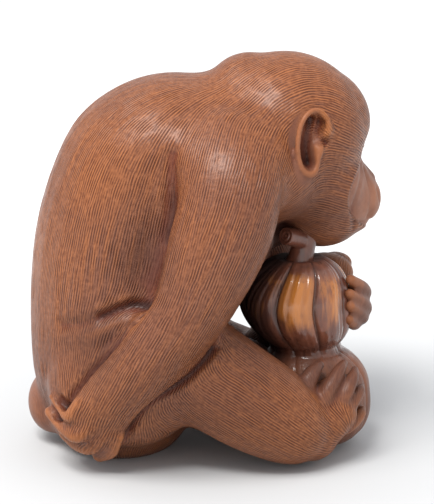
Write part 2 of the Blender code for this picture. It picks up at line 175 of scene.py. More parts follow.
FAR_SHIN = ((-2, 22, 15.5, 10, 10.2), (8.0, 21.5, 12.6, 9, 9.2), (17.0, 19.0, 9.2, 8.4, 9.2),
            (23.5, 15.5, 6.8, 6.2, 7.0))
TOES = (((20.0, 17.0, 14.5), (21.2, 17.6, 19.2), (23.0, 16.2, 22.2), (24.8, 14.0, 23.6)),
        ((24.2, 17.6, 12.8), (26.2, 18.0, 18.0), (29.0, 15.0, 22.0), (30.6, 11.6, 23.4)),
        ((28.0, 16.4, 12.4), (30.6, 16.2, 17.0), (32.4, 13.6, 20.2), (33.2, 10.6, 21.6)),
        ((29.8, 15.6, 10.6), (32.4, 14.8, 14.6), (34.2, 11.8, 16.4), (35.0, 9.0, 16.8)),
        ((28.6, 14.8, 7.4), (32.0, 13.6, 8.8), (34.6, 10.6, 10.4), (35.4, 8.4, 11.2)))
TOE_GIRTHS = (2.35, 1.95, 1.75, 1.6, 1.55)
TOE_TAPER = (1.0, 0.97, 0.86, 0.5)
# The sole and the instep, on the far side where across is positive
SOLE = ((21.0, 15.5, 7.6, 5.5, 5.6), (26.0, 15.8, 10.8, 5.0, 6.0), (29.2, 14.8, 13.2, 4.2, 5.2))
INSTEP = ((22.0, 14.5, 10.0, 4.0, 4.0), (25.6, 14.6, 16.5, 4.2, 3.4), (29.4, 12.6, 18.4, 3.8, 3.0))
# The far foot is tucked in behind the gourd
FOOT_SHIFTS = {-1: 0.0, 1: -4.0}


def smooth_stations(stations, steps):
    """Stations along a Catmull-Rom curve through the given ones."""
    given = np.array(stations, float)
    ends = np.vstack([2 * given[0] - given[1], given, 2 * given[-1] - given[-2]])
    found = []
    for a, b, c, d in zip(ends[:-3], ends[1:-2], ends[2:-1], ends[3:]):
        for t in np.linspace(0, 1, steps, endpoint=False):
            found.append(0.5 * (2 * b + (c - a) * t + (2 * a - 5 * b + 4 * c - d) * t**2
                                + (3 * b - a - 3 * c + d) * t**3))
    found.append(given[-1])
    return np.array(found)


def unit_rows(rows):
    return rows / np.maximum(np.linalg.norm(rows, axis=-1, keepdims=True), 1e-9)


def add_loft(clay, stations, side=(0, 1, 0), steps=5, around=24, tip=1.0):
    """A limb: oval rings through the stations, closed by rounded ends."""
    path = smooth_stations(stations, steps)
    tangents = unit_rows(np.gradient(path[:, :3], axis=0))
    rings = []
    caps = np.radians((75, 55, 35, 15))
    first = [(path[0], tangents[0], math.cos(a), -math.sin(a)) for a in caps]
    body = [(station, tangent, 1.0, 0.0) for station, tangent in zip(path, tangents)]
    last = [(path[-1], tangents[-1], math.cos(a), math.sin(a)) for a in caps[::-1]]
    for station, tangent, shrink, push in first + body + last:
        across = unit_rows(np.array(side) - tangent * np.dot(side, tangent))
        thick = np.cross(tangent, across)
        reach = push * tip * min(station[3], station[4])
        angles = np.linspace(0, math.tau, around, endpoint=False)
        ring = (station[:3] + tangent * reach
                + np.outer(np.cos(angles), across) * station[3] * shrink
                + np.outer(np.sin(angles), thick) * station[4] * shrink)
        rings.append([clay.verts.new(point) for point in ring])
    for low, high in zip(rings, rings[1:]):
        for i in range(around):
            j = (i + 1) % around
            clay.faces.new((low[i], low[j], high[j], high[i]))
    clay.faces.new(rings[0][::-1])
    clay.faces.new(rings[-1])


def add_ball(clay, centre, radii, turn=(0, 0, 0)):
    """An egg: a sphere stretched to its radii and turned about Z, Y and X, in degrees."""
    spin = Matrix.Identity(4)
    for angle, axis in zip(turn, "ZYX"):
        spin = spin @ Matrix.Rotation(math.radians(angle), 4, axis)
    place = Matrix.Translation(centre) @ spin @ Matrix.Diagonal((*radii, 1))
    bmesh.ops.create_icosphere(clay, subdivisions=4, radius=1, matrix=place)


HEAD_AXES = Matrix.Rotation(HEAD_TURN, 3, "Z") @ Matrix.Rotation(HEAD_NOD, 3, "Y")
HEAD_SPIN = (math.degrees(HEAD_TURN), math.degrees(HEAD_NOD), 0)


def on_head(x, y, z):
    """A point given from the head's centre, along its own forward, left and up."""
    return HEAD_CENTRE + HEAD_AXES @ Vector((x, y, z))


def from_head(points):
    """Points as the head sees them: forward, left and up from its centre."""
    return (points - np.array(HEAD_CENTRE)) @ np.array(HEAD_AXES)


def head_station(x, y, z, width, thickness):
    return (*on_head(x, y, z), width, thickness)


def head_path(side, path):
    """Points on the head, mirrored where the side is the near one."""
    return [on_head(x, side * y, z) for x, y, z in path]


def ear_point(side, forward, up, out=0.0):
    """A point on the ear's own plane, which flares away from the head towards the back."""
    x, y, z = EAR_CENTRE
    flare = -0.35 * forward
    return on_head(x + forward, side * (y + flare + out), z + up)


def add_masses(clay):
    """The big forms of trunk, head and limbs."""
    add_loft(clay, TORSO, tip=0.6)
    for middle, radii in BODY_BALLS:
        add_ball(clay, middle, radii)
    add_ball(clay, on_head(-1.7, 0, -2.3), (18.7, 16.8, 17.2), (math.degrees(HEAD_TURN), 25, 0))
    add_ball(clay, (8.6, 0.0, 80.6), (11.5, 13.0, 13.2))
    add_ball(clay, on_head(3.6, 0, -1.5), (14.3, 13.0, 13.8), HEAD_SPIN)
    add_loft(clay, [head_station(4, 0, -8, 13.5, 13), head_station(9.5, 0, -14.0, 10.8, 10.8),
                    head_station(15.5, 0, -18.0, 7.9, 7.6)])
    add_ball(clay, on_head(8.5, 0, -19.0), (11.8, 10.6, 11.2), HEAD_SPIN)
    add_ball(clay, on_head(15.6, 0, -22.0), (5.6, 6.4, 4.8), HEAD_SPIN)
    for side in (-1, 1):
        add_ball(clay, on_head(5, side * 6.2, -14), (11, 7.2, 10.5), (18, 20, 0))
    add_loft(clay, NEAR_ARM, side=(1, 0, 0), tip=0.5)
    add_loft(clay, FAR_ARM, side=(0, 0, 1), tip=0.3)
    add_ball(clay, (-18.5, -14.0, 21.0), (17.0, 15.0, 16.5))
    for leg in (NEAR_THIGH, NEAR_SHIN, FAR_THIGH, FAR_SHIN):
        add_loft(clay, leg)
    for side in (-1, 1):
        for part in (SOLE, INSTEP):
            add_loft(clay, [(x + FOOT_SHIFTS[side], side * y, *rest) for x, y, *rest in part])


def near_fingers():
    """The curled fingers of the near hand: knuckle to tip."""
    return (((-22.0, -27.5, 22.0, 2.4, 2.2), (-28.0, -26.8, 19.2, 2.2, 2.1), (-31.2, -25.4, 15.4, 2.0, 2.0),
             (-33.3, -22.8, 16.2, 1.6, 1.6), (-35.6, -19.8, 18.0, 1.2, 1.3)),
            ((-24.4, -27.0, 16.9, 2.4, 2.2), (-29.4, -25.6, 11.2, 2.2, 2.1), (-32.6, -23.4, 11.6, 1.9, 1.9),
             (-36.7, -18.8, 14.0, 1.3, 1.5)),
            ((-22.8, -25.8, 12.2, 2.4, 2.2), (-26.9, -23.4, 7.6, 2.2, 2.1), (-30.2, -20.6, 7.0, 1.9, 1.9),
             (-33.6, -17.2, 8.2, 1.4, 1.5)),
            ((-20.8, -25.4, 11.6, 2.6, 2.2), (-22.6, -23.0, 6.8, 2.3, 2.2), (-25.4, -19.6, 4.2, 2.0, 2.0)))


def far_fingers():
    """The fingers of the far hand, laid over the gourd from behind."""
    return (((30.0, 12.0, 38.4, 2.4, 2.3), (35.8, 7.8, 35.0, 2.3, 2.2), (35.4, 2.8, 37.4, 1.8, 1.8),
             (32.4, -3.0, 41.0, 1.2, 1.3)),
            ((31.0, 12.6, 34.4, 2.4, 2.3), (36.0, 7.6, 31.2, 2.3, 2.2), (35.6, 2.2, 33.8, 1.8, 1.8),
             (32.2, -4.0, 37.8, 1.2, 1.3)),
            ((31.0, 12.6, 31.4, 2.4, 2.3), (35.4, 6.8, 29.4, 2.2, 2.1), (35.0, 1.6, 31.4, 1.7, 1.8),
             (32.4, -4.0, 34.8, 1.2, 1.3)),
            ((30.0, 12.6, 29.6, 2.3, 2.3), (33.8, 6.2, 28.4, 2.0, 2.0), (33.6, 1.0, 29.2, 1.6, 1.6),
             (32.2, -3.4, 31.4, 1.2, 1.2)))


def ear_rim():
    """Forward, up and girth along the rolled rim of an ear, from its front over the top to the lobe."""
    return ((3.5, 1.8, 0.9), (3.0, 4.4, 1.0), (1.3, 6.3, 0.85), (-0.8, 6.9, 0.7), (-2.8, 5.8, 0.65),
            (-4.0, 3.4, 0.62), (-4.3, 0.2, 0.62), (-3.9, -3.0, 0.7), (-2.8, -5.6, 0.85), (-0.9, -7.2, 1.05),
            (0.7, -6.9, 1.1), (1.4, -5.2, 0.95), (1.5, -3.4, 0.8))


def ear_station(side, forward, up, out, width, thickness):
    return (*ear_point(side, forward, up, out), width, thickness)


def ear_folds():
    """The slab behind the bowl, the front of the rim and the small flap before the ear's opening."""
    return (((0.6, 3.8, -1.5, 2.8, 1.2), (-0.6, 0.6, -1.7, 3.2, 1.4), (0.2, -4.2, -1.4, 2.2, 1.2)),
            ((2.0, 5.0, -0.2, 1.2, 1.1), (3.2, 2.8, -0.2, 1.9, 1.1), (3.8, 0.6, -0.4, 1.3, 1.1)),
            ((2.3, -1.3, 0.3, 0.8, 0.9), (1.9, -2.8, 0.5, 0.9, 0.9), (1.4, -4.6, 0.2, 0.8, 0.9)))


def toe_path(toe, side):
    return [(x + FOOT_SHIFTS[side], side * y, z) for x, y, z in toe]


def add_details(clay):
    """Fingers, toes, ears, brows, eyes, nose and muzzle."""
    for finger in near_fingers() + far_fingers():
        add_loft(clay, finger, side=(0, 0, 1), around=16)
    add_ball(clay, (29.6, 11.0, 41.4), (4.2, 3.4, 2.8))
    add_ball(clay, (27.0, 8.5, 39.6), (7.0, 5.0, 5.0))
    for side in (-1, 1):
        for girth, toe in zip(TOE_GIRTHS, TOES):
            add_loft(clay, [(*point, girth * share, girth * share)
                            for point, share in zip(toe_path(toe, side), TOE_TAPER)], around=16)
        rim = [(*ear_point(side, forward, up, 0.5), girth, girth) for forward, up, girth in ear_rim()]
        add_loft(clay, rim, side=(0, 1, 0), around=16)
        for fold in ear_folds():
            add_loft(clay, [ear_station(side, *station) for station in fold], side=(1, 0, 0), around=16)
        brow = ((14.6, 1.0, -3.0, 1.6, 1.8), (14.2, 4.6, -2.2, 1.9, 2.0), (11.4, 9.4, -2.8, 1.9, 1.8))
        add_loft(clay, [head_station(x, side * y, *rest) for x, y, *rest in brow], side=(0, 0, 1))
        add_ball(clay, on_head(14.3, side * 4.4, -5.2), (2.1, 2.1, 2.0))
        wing = ((21.2, 1.0, -15.4, 1.5, 1.4), (20.8, 2.6, -16.4, 1.6, 1.4), (19.6, 3.9, -17.0, 1.3, 1.1))
        add_loft(clay, [head_station(x, side * y, *rest) for x, y, *rest in wing], around=12)
    add_loft(clay, [head_station(13.6, 0, -3.0, 1.9, 1.8), head_station(14.6, 0, -8.0, 2.1, 1.8),
                    head_station(19.8, 0, -13.6, 2.8, 2.1)], around=16)
    add_ball(clay, on_head(16.9, 0, -18.4), (6.6, 6.8, 6.9), HEAD_SPIN)


def stand(name, data):
    """A new object in the scene."""
    thing = bpy.data.objects.new(name, data)
    bpy.context.scene.collection.objects.link(thing)
    return thing


def as_modified(thing):
    """The mesh of an object with its modifiers worked in."""
    depsgraph = bpy.context.evaluated_depsgraph_get()
    return bpy.data.meshes.new_from_object(thing.evaluated_get(depsgraph))


def mesh_from(clay, name):
    bmesh.ops.recalc_face_normals(clay, faces=clay.faces)
    mesh = bpy.data.meshes.new(name)
    clay.to_mesh(mesh)
    clay.free()
    return mesh


def remade(mesh, voxel, rounded=0):
    """The union of all the forms in a mesh, as one even skin."""
    holder = stand("holder", mesh)
    if rounded:
        soften = holder.modifiers.new("rounded", "SUBSURF")
        soften.levels = rounded
        soften.render_levels = rounded
    if voxel:
        skin = holder.modifiers.new("union", "REMESH")
        skin.mode = "VOXEL"
        skin.voxel_size = voxel
        skin.adaptivity = 0
    united = as_modified(holder)
    bpy.data.objects.remove(holder)
    return united


def read_vectors(collection, field):
    values = np.empty(len(collection) * 3, np.float32)
    collection.foreach_get(field, values)
    return values.reshape(-1, 3).astype(float)


def write_points(mesh, points):
    mesh.vertices.foreach_set("co", points.astype(np.float32).ravel())
    mesh.update()


class Web:
    """The edges of a skin, over which values are averaged with their neighbours."""

    def __init__(self, mesh):
        ends = np.empty(len(mesh.edges) * 2, np.int32)
        mesh.edges.foreach_get("vertices", ends)
        ends = ends.reshape(-1, 2)
        self.size = len(mesh.vertices)
        self.starts = np.r_[ends[:, 0], ends[:, 1]]
        self.stops = np.r_[ends[:, 1], ends[:, 0]]
        self.count = np.bincount(self.starts, minlength=self.size)

    def average(self, values):
        if values.ndim == 1:
            return np.bincount(self.starts, values[self.stops], self.size) / self.count
        return np.stack([self.average(values[:, k]) for k in range(values.shape[1])], 1)


def relax(mesh, rounds, fill, wear, middle=None, reach=1.0):
    """Rubs the skin smooth: hollows fill by one share of the way, bumps wear by another.
    With a middle the rubbing fades out at the reach from it."""
    web = Web(mesh)
    points = read_vectors(mesh.vertices, "co")
    local = 1.0
    if middle is not None:
        local = np.exp(-((np.linalg.norm(points - middle, axis=1) / reach) ** 4))[:, None]
    for _ in range(rounds):
        move = web.average(points) - points
        normals = read_vectors(mesh.vertex_normals, "vector")
        outward = np.einsum("ij,ij->i", move, normals)[:, None]
        share = np.where(outward > 0, fill, wear) * local
        points = points + move * share
        write_points(mesh, points)


def distance_to_path(points, path, steps=6):
    """Distance from each point to a smooth line through the path's points."""
    line = smooth_stations(path, steps)
    best = np.full(len(points), np.inf)
    for a, b in zip(line, line[1:]):
        run = b - a
        t = np.clip((points - a) @ run / max(run @ run, 1e-12), 0, 1)
        best = np.minimum(best, np.linalg.norm(points - a - t[:, None] * run, axis=1))
    return best


def near_path(points, path, reach):
    """Which points lie in the box round a path, with a margin."""
    path = np.array(path, float)
    low, high = path.min(0) - reach, path.max(0) + reach
    return np.flatnonzero(((points > low) & (points < high)).all(1))


def on_skin(points, path, reach=6.0):
    """A smooth line through the path's points, brought onto the skin."""
    found = []
    for stop in smooth_stations(path, 3):
        near = near_path(points, [stop], reach)
        away = np.linalg.norm(points[near] - stop, axis=1)
        weight = np.exp(-((away - away.min()) / 0.5) ** 2)
        found.append((points[near] * weight[:, None]).sum(0) / weight.sum())
    return found


def cut(points, normals, path, width, depth):
    """A rounded groove along a path, or a raised cord where the depth is negative."""
    path = on_skin(points, path)
    near = near_path(points, path, 3.5 * width)
    amount = depth * np.exp(-((distance_to_path(points[near], path, 2) / width) ** 2))
    points[near] -= normals[near] * amount[:, None]


def press(points, path, width, depth, way):
    """A groove along a path, pressed in one direction."""
    near = near_path(points, path, 3 * width)
    amount = depth * np.exp(-((distance_to_path(points[near], path) / width) ** 4))
    points[near] += amount[:, None] * way


def hollow(points, normals, centre, radius, depth):
    cut(points, normals, [centre, centre], radius, depth)


def ramp(values, low, high):
    """0 below low, 1 above high, and an easy slope between."""
    t = np.clip((values - low) / (high - low), 0, 1)
    return t * t * (3 - 2 * t)


# Creases: path, width and depth; a negative depth raises a fold
CREASES = (
    (((-12.5, -20.5, 70.0), (-13.0, -22.4, 62.0), (-14.6, -23.4, 54.0), (-16.0, -24.0, 47.0)), 3.8, 0.9),
    (((-8.3, -21.6, 74.0), (-8.6, -23.0, 69.0), (-9.2, -24.0, 64.5), (-10.0, -24.6, 60.2),
      (-11.2, -25.2, 55.7), (-11.8, -27.0, 52.2), (-12.5, -28.2, 48.1), (-14.0, -28.4, 43.7),
      (-16.4, -28.6, 39.7)), 1.5, 1.0),
    (((-15.5, -28.6, 41.0), (-19.5, -28.2, 35.7), (-23.7, -27.2, 30.4), (-28.0, -26.2, 24.7),
      (-31.0, -25.2, 20.5), (-32.6, -24.4, 17.3)), 0.85, 1.25),
    (((0.4, -27.6, 32.0), (-1.4, -28.5, 29.6), (-3.8, -29.4, 27.0), (-8.2, -29.6, 23.0),
      (-12.8, -29.6, 19.6), (-15.8, -28.4, 15.6), (-18.0, -26.8, 11.8), (-19.3, -25.0, 8.0),
      (-20.3, -22.0, 4.4)), 0.8, 1.5),
    (((-33.0, -19.6, 34.6), (-27.9, -23.4, 36.0), (-23.7, -24.6, 38.0), (-19.0, -25.2, 40.2),
      (-15.7, -25.6, 41.4), (-13.2, -27.4, 43.4)), 1.6, 0.7),
    (((-24.5, -24.2, 37.7), (-21.0, -25.0, 39.4), (-15.7, -25.6, 41.4), (-13.2, -27.4, 43.4)), 1.2, 1.1),
    (((-26.0, -23.6, 32.8), (-22.0, -25.0, 35.0), (-17.5, -26.4, 37.2)), 3.4, -0.8),
    (((-33.9, -22.6, 17.6), (-32.9, -23.6, 17.0)), 1.1, 1.5),
    (((-35.2, -21.6, 13.6), (-33.6, -22.6, 13.6)), 0.9, 1.3))


# The bowl of the ear, the dip before its front rim and the notch: path of forward and up, width, depth
EAR_PRESSES = ((((-0.7, 4.3), (-1.0, 1.6), (-1.4, -1.6), (-1.1, -4.8)), 1.75, 2.9),
               (((1.0, 4.0), (0.9, 1.6)), 1.3, 1.9), (((0.8, 0.2), (3.0, -0.4)), 1.0, 1.3))
# The folds from cheek to jaw, on both sides
CHEEK_FOLDS = ((((15.6, 6.6, -8.6), (13.4, 9.8, -13.6), (13.0, 10.6, -19.0), (15.0, 8.8, -24.2)), 1.1, 0.5),
               (((17.0, 5.4, -10.2), (18.4, 6.4, -14.4), (18.6, 6.6, -18.6), (19.0, 6.0, -21.8)), 0.9, 0.5))
# The line of the mouth and the dip over the lip
MOUTH_CUTS = ((((14.4, -8.6, -22.6), (19.4, -5.6, -23.8), (22.6, 0, -24.0), (19.4, 5.6, -23.8),
                (14.4, 8.6, -22.6)), 0.6, 0.4),
              (((23.6, 0, -19.2), (23.2, 0, -23.0)), 0.3, 0.3))
# How far the bare face lies below the coat
FACE_SINKS = 0.4

# Cuts along upper and lower lid, and the raised fold over them: level, way forward, width and depth
LIDS = ((-3.9, 0.2, 0.35, 0.45), (-6.6, -0.2, 0.35, 0.4), (-3.0, 0.4, 0.6, -0.4))


def carve(mesh):
    """The cuts of the fine gouge: creases, eyes, nose, ears, cheeks and mouth."""
    points = read_vectors(mesh.vertices, "co")
    normals = read_vectors(mesh.vertex_normals, "vector")
    for path, width, depth in CREASES:
        cut(points, normals, path, width, depth)
    for side in (-1, 1):
        hollow(points, normals, on_head(16.6, side * 4.2, -5.2), 2.9, 1.3)
        hollow(points, normals, on_head(15.4, side * 4.2, -5.2), 1.5, -1.1)
        for rise, forth, width, depth in LIDS:
            lid = ((15.6, 2.4, -5.4), (16.6, 4.4, rise), (14.8, 6.6, -5.0))
            cut(points, normals, head_path(side, [(x + forth, y, z) for x, y, z in lid]), width, depth)
        hollow(points, normals, on_head(23.2, side * 1.6, -17.6), 0.8, 1.1)
        nose_fold = ((21.0, 4.6, -15.0), (21.6, 4.8, -17.6), (22.6, 3.2, -19.4))
        cut(points, normals, head_path(side, nose_fold), 0.5, 0.3)
        inward = np.array(HEAD_AXES @ Vector((0.25, -side, 0)))
        for path, width, depth in EAR_PRESSES:
            press(points, [ear_point(side, *stop) for stop in path], width, depth, inward)
    for side in (-1, 1):
        for path, width, depth in CHEEK_FOLDS:
            cut(points, normals, head_path(side, path), width, depth)
    for path, width, depth in MOUTH_CUTS:
        cut(points, normals, head_path(1, path), width, depth)
    points -= normals * (FACE_SINKS * face_share(points))[:, None]
    write_points(mesh, points)


def face_share(points):
    """1 on the bare face in front of the coat's edge, 0 behind it."""
    forward, left, up = from_head(points).T
    edge = 10.2 + 0.13 * (up + 16.0) ** 2 * np.where(up > -16.0, 0.5, 1.0)
    mask = ramp(forward - edge, -0.35, 0.35) * ramp(-up, 1.2, 2.6)
    # It rises round the eyes to the brow
    round_eyes = np.hypot((np.abs(left) - 3.4) / 4.6, (up + 6.6) / 4.4)
    bridge = np.hypot(left / 3.0, (up + 9.0) / 5.5)
    mask = np.maximum(mask, 1 - ramp(np.minimum(round_eyes, bridge), 0.93, 1.05))
    return mask * ramp(forward, 9.0, 11.0)


def sculpt():
    """The monkey without its gourd, in the carver's unit."""
    clay = bmesh.new()
    add_masses(clay)
    rough = remade(mesh_from(clay, "rough"), ROUGH_VOXEL)
    for middle, reach in BLENDS:
        relax(rough, rounds=35, fill=0.8, wear=0.15, middle=middle, reach=reach)
    relax(rough, rounds=7, fill=0.5, wear=0.2)
    smooth = remade(rough, 0, rounded=1)
    clay = bmesh.new()
    clay.from_mesh(smooth)
    add_details(clay)
    skin = remade(mesh_from(clay, "skin"), FINE_VOXEL)
    relax(skin, rounds=5, fill=0.45, wear=0.3)
    for middle, reach in DETAIL_BLENDS:
        relax(skin, rounds=8, fill=0.75, wear=0.12, middle=middle, reach=reach)
    carve(skin)
    for side in (-1, 1):
        relax(skin, rounds=4, fill=0.5, wear=0.3, middle=ear_point(side, 1.6, 0.0), reach=4.0)
    relax(skin, rounds=1, fill=0.3, wear=0.2)
    return skin


def limb_share(points, stations):
    """How firmly each point belongs to a limb, and the way that the limb runs there."""
    line = smooth_stations(stations, 4)
    way = np.zeros((len(points), 3))
    nearest = np.full(len(points), np.inf)
    for a, b in zip(line, line[1:]):
        run = b[:3] - a[:3]
        t = np.clip((points - a[:3]) @ run / max(run @ run, 1e-12), 0, 1)
        girth = np.sqrt((a[3] + (b[3] - a[3]) * t) * (a[4] + (b[4] - a[4]) * t))
        rho = np.linalg.norm(points - a[:3] - t[:, None] * run, axis=1) / girth
        closer = rho < nearest
        nearest[closer] = rho[closer]
        way[closer] = run / max(np.linalg.norm(run), 1e-9)
    return 1 / (1 + (nearest / 1.12) ** 12), way


def nearest_points(points, spots):
    """Which of the points lies nearest to each spot."""
    tree = KDTree(len(points))
    for i, point in enumerate(points):
        tree.insert(point, i)
    tree.balance()
    return np.array([tree.find(spot)[1] for spot in spots])


def lay_of_the_coat(mesh):
    """The way that the hair lies at each point of the skin, found on a coarser copy of it."""
    coarse = remade(mesh.copy(), ROUGH_VOXEL)
    points = read_vectors(coarse.vertices, "co")
    normals = read_vectors(coarse.vertex_normals, "vector")
    lie = np.zeros((len(points), 3))
    lie[:, 2] = -0.02
    for stations, weight in ((TORSO[::-1], 0.7), (NEAR_ARM, 1.6), (FAR_ARM, 1.6), (NEAR_THIGH, 0.6),
                             (NEAR_SHIN, 1.5), (FAR_THIGH, 0.6), (FAR_SHIN, 1.5)):
        share, way = limb_share(points, stations)
        lie += way * (share * weight)[:, None]
    # Over the neck and shoulders it falls away from the crown
    x, _, z = points.T
    away = 0.15 + 0.75 * ramp(z, 72.0, 86.0) + 0.7 * ramp(x, -4.0, 4.0) * ramp(z, 50.0, 70.0)
    lie += unit_rows(points - (20.0, 0.0, 84.0)) * away[:, None]
    lie[:, 2] -= 0.5 * ramp(-x, -1.0, 9.0)
    local = from_head(points)
    rho = np.linalg.norm(local / (18.7, 17.0, 17.2), axis=1)
    rho = np.minimum(rho, np.linalg.norm((local - (8.0, 0, -16.0)) / (14.5, 14.5, 14.5), axis=1))
    crown = 1 / (1 + (rho / 1.10) ** 14)
    # On the head it rises from the brow and falls behind the ears
    fall = -0.30 + 1.25 * ramp(-local[:, 0], -5.0, 12.0)
    way = np.stack([-np.ones(len(points)), np.zeros(len(points)), -fall], 1) @ np.array(HEAD_AXES).T
    lie = lie * (1 - crown)[:, None] + way * (crown * 3.0)[:, None]
    web = Web(coarse)
    for _ in range(COMBINGS):
        lie -= normals * np.einsum("ij,ij->i", lie, normals)[:, None]
        lie = web.average(unit_rows(lie))
    normals = read_vectors(mesh.vertex_normals, "vector")
    lie = lie[nearest_points(points, read_vectors(mesh.vertices, "co"))]
    web = Web(mesh)
    for _ in range(6):
        lie = web.average(lie)
    lie -= normals * np.einsum("ij,ij->i", lie, normals)[:, None]
    return unit_rows(lie)


def bare_share(points):
    """1 where the wood is left smooth: face and ears, and in part fingers, toes and the rump's pad."""
    bare = face_share(points)
    for side in (-1, 1):
        middle = np.array(ear_point(side, -1.6, -0.8))
        offset = from_head(points) - from_head(middle[None])
        far = np.linalg.norm(offset / (4.5, 3.6, 9.0), axis=1)
        bare = np.maximum(bare, 1 - ramp(far, 0.92, 1.08))
        for girth, toe in zip(TOE_GIRTHS, TOES):
            path = toe_path(toe, side)[1:]
            near = near_path(points, path, 8.0)
            far = distance_to_path(points[near], path) / girth
            bare[near] = np.maximum(bare[near], 0.6 * (1 - ramp(far, 1.15, 1.5)))
    pad = np.linalg.norm((points - (-37.6, 3.0, 9.6)) / (6.6, 9.9, 8.0), axis=1)
    bare = np.maximum(bare, 0.7 * (1 - ramp(pad, 0.97, 1.12)))
    for finger in near_fingers() + far_fingers():
        path = np.array(finger)[-2:, :3]
        near = near_path(points, path, 8.0)
        far = distance_to_path(points[near], path) / finger[-2][3]
        share = 0.45 if path[0][0] < 0 else 1.0
        bare[near] = np.maximum(bare[near], share * (1 - ramp(far, 1.15, 1.5)))
    return bare


def toe_share(points):
    """1 on the toes, where the wood has darkened, fading over their roots; less on the far fingers."""
    found = np.zeros(len(points))
    for side in (-1, 1):
        for girth, toe in zip(TOE_GIRTHS, TOES):
            path = toe_path(toe, side)
            near = near_path(points, path, 8.0)
            far = distance_to_path(points[near], path) / girth
            rise = ramp(points[near, 2] - path[0][2], 1.0, 8.5)
            found[near] = np.maximum(found[near], rise * (1 - ramp(far, 1.2, 2.0)))
    for finger in far_fingers():
        path = np.array(finger)[:-1, :3]
        near = near_path(points, path, 8.0)
        far = distance_to_path(points[near], path) / finger[1][3]
        found[near] = np.maximum(found[near], 0.55 * (1 - ramp(far, 1.1, 1.6)))
    return found


def wax_and_shade_share(points):
    """How much dark wax and painted shade darken each point."""
    found = np.zeros(len(points))
    for middle, reach, share in WAX_AND_SHADE_SPOTS:
        away = np.linalg.norm(points - middle, axis=1) / reach
        found = np.maximum(found, share * np.exp(-(away ** 3)))
    return found


def recess(mesh):
    """How deep each point lies in a hollow, above 0, or how proud on an edge, below 0."""
    web = Web(mesh)
    points = read_vectors(mesh.vertices, "co")
    normals = read_vectors(mesh.vertex_normals, "vector")
    spread = points
    depth = 0
    for rounds, weight in ((12, 1.0), (58, 0.5)):
        for _ in range(rounds):
            spread = web.average(spread)
        depth = depth + weight * np.einsum("ij,ij->i", spread - points, normals)
    for _ in range(2):
        depth = web.average(depth)
    return depth


def write_values(mesh, name, values):
    """Hands a value or a direction of each point to the materials."""
    if values.ndim == 2:
        layer = mesh.attributes.new(name, "FLOAT_VECTOR", "POINT")
        layer.data.foreach_set("vector", values.astype(np.float32).ravel())
    else:
        layer = mesh.attributes.new(name, "FLOAT", "POINT")
        layer.data.foreach_set("value", values.astype(np.float32))


def read_values(mesh, name):
    values = np.empty(len(mesh.vertices), np.float32)
    mesh.attributes[name].data.foreach_get("value", values)
    return values.astype(float)


def into_frame(points):
    """From the carver's unit onto the solid's own box."""
    return (points - (*MIDDLE, 0)) * UNIT + (*SOLID_MIDDLE, 0)


def combing():
    """The node tree that sinks the strokes of the coat into the skin along its normals."""
    tree = bpy.data.node_groups.new("comb", "GeometryNodeTree")
    tree.interface.new_socket("Skin", in_out="INPUT", socket_type="NodeSocketGeometry")
    for name in ("Pitch", "Reach", "Depth"):
        tree.interface.new_socket(name, in_out="INPUT", socket_type="NodeSocketFloat")
    tree.interface.new_socket("Wood", in_out="INPUT", socket_type="NodeSocketMaterial")
    tree.interface.new_socket("Skin", in_out="OUTPUT", socket_type="NodeSocketGeometry")
    given = {socket.name: Signal(tree, socket) for socket in tree.nodes.new("NodeGroupInput").outputs}
    place = Signal(tree, tree.nodes.new("GeometryNodeInputPosition").outputs[0])

    def stored(name, kind):
        found = place.node("GeometryNodeInputNamedAttribute", {"data_type": kind}, Name=name)
        return Signal(tree, found.outputs["Attribute"])

    gabor = place.node("ShaderNodeTexGabor", {"gabor_type": "3D"}, Vector=place, Anisotropy=1.0,
                       Scale=1.0 / given["Reach"], Frequency=given["Reach"] / given["Pitch"])
    turn = next(s for s in gabor.inputs if s.type == "VECTOR" and s.name == "Orientation")
    place.feed(turn, stored("across", "FLOAT_VECTOR"))
    wave = Signal(tree, gabor.outputs["Value"])
    strokes = place.node("GeometryNodeStoreNamedAttribute", {"data_type": "FLOAT", "domain": "POINT"},
                         Name="stroke", Geometry=given["Skin"], Value=wave)
    sink = (1.0 - wave) * stored("engraved", "FLOAT") * given["Depth"]
    push = place.node("ShaderNodeVectorMath", {"operation": "SCALE"}, Scale=-sink)
    place.feed(push.inputs[0], stored("outward", "FLOAT_VECTOR"))
    moved = place.node("GeometryNodeSetPosition", Geometry=Signal(tree, strokes.outputs[0]),
                       Offset=Signal(tree, push.outputs[0]))
    real = place.node("GeometryNodeRealizeInstances", Geometry=Signal(tree, moved.outputs[0]))
    dressed = place.node("GeometryNodeSetMaterial", Geometry=Signal(tree, real.outputs[0]),
                         Material=given["Wood"])
    tree.links.new(dressed.outputs[0], tree.nodes.new("NodeGroupOutput").inputs[0])
    return tree


def through(tree, mesh, **values):
    """A mesh led through a node tree with its named inputs set."""
    holder = stand("holder", mesh)
    comb = holder.modifiers.new("comb", "NODES")
    comb.node_group = tree
    for socket in tree.interface.items_tree:
        if socket.in_out == "INPUT" and socket.name in values:
            comb[socket.identifier] = values[socket.name]
    made = as_modified(holder)
    holder.modifiers.remove(comb)
    bpy.data.objects.remove(holder)
    return made


def add_piece(mesh, name, wood):
    """Stands a mesh in the scene as one carved piece in place of the solid."""
    piece = stand(name, mesh)
    mesh.materials.clear()
    mesh.materials.append(wood)
    mesh.polygons.foreach_set("use_smooth", np.ones(len(mesh.polygons), bool))
    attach(piece, "root")
    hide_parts("monkey_with_gourd")


def level_box(low, high):
    """A wide block between two heights."""
    clay = bmesh.new()
    place = Matrix.Translation((0, 0, (low + high) / 2)) @ Matrix.Diagonal((1, 1, high - low, 1))
    bmesh.ops.create_cube(clay, size=1, matrix=place)
    return mesh_from(clay, "block")


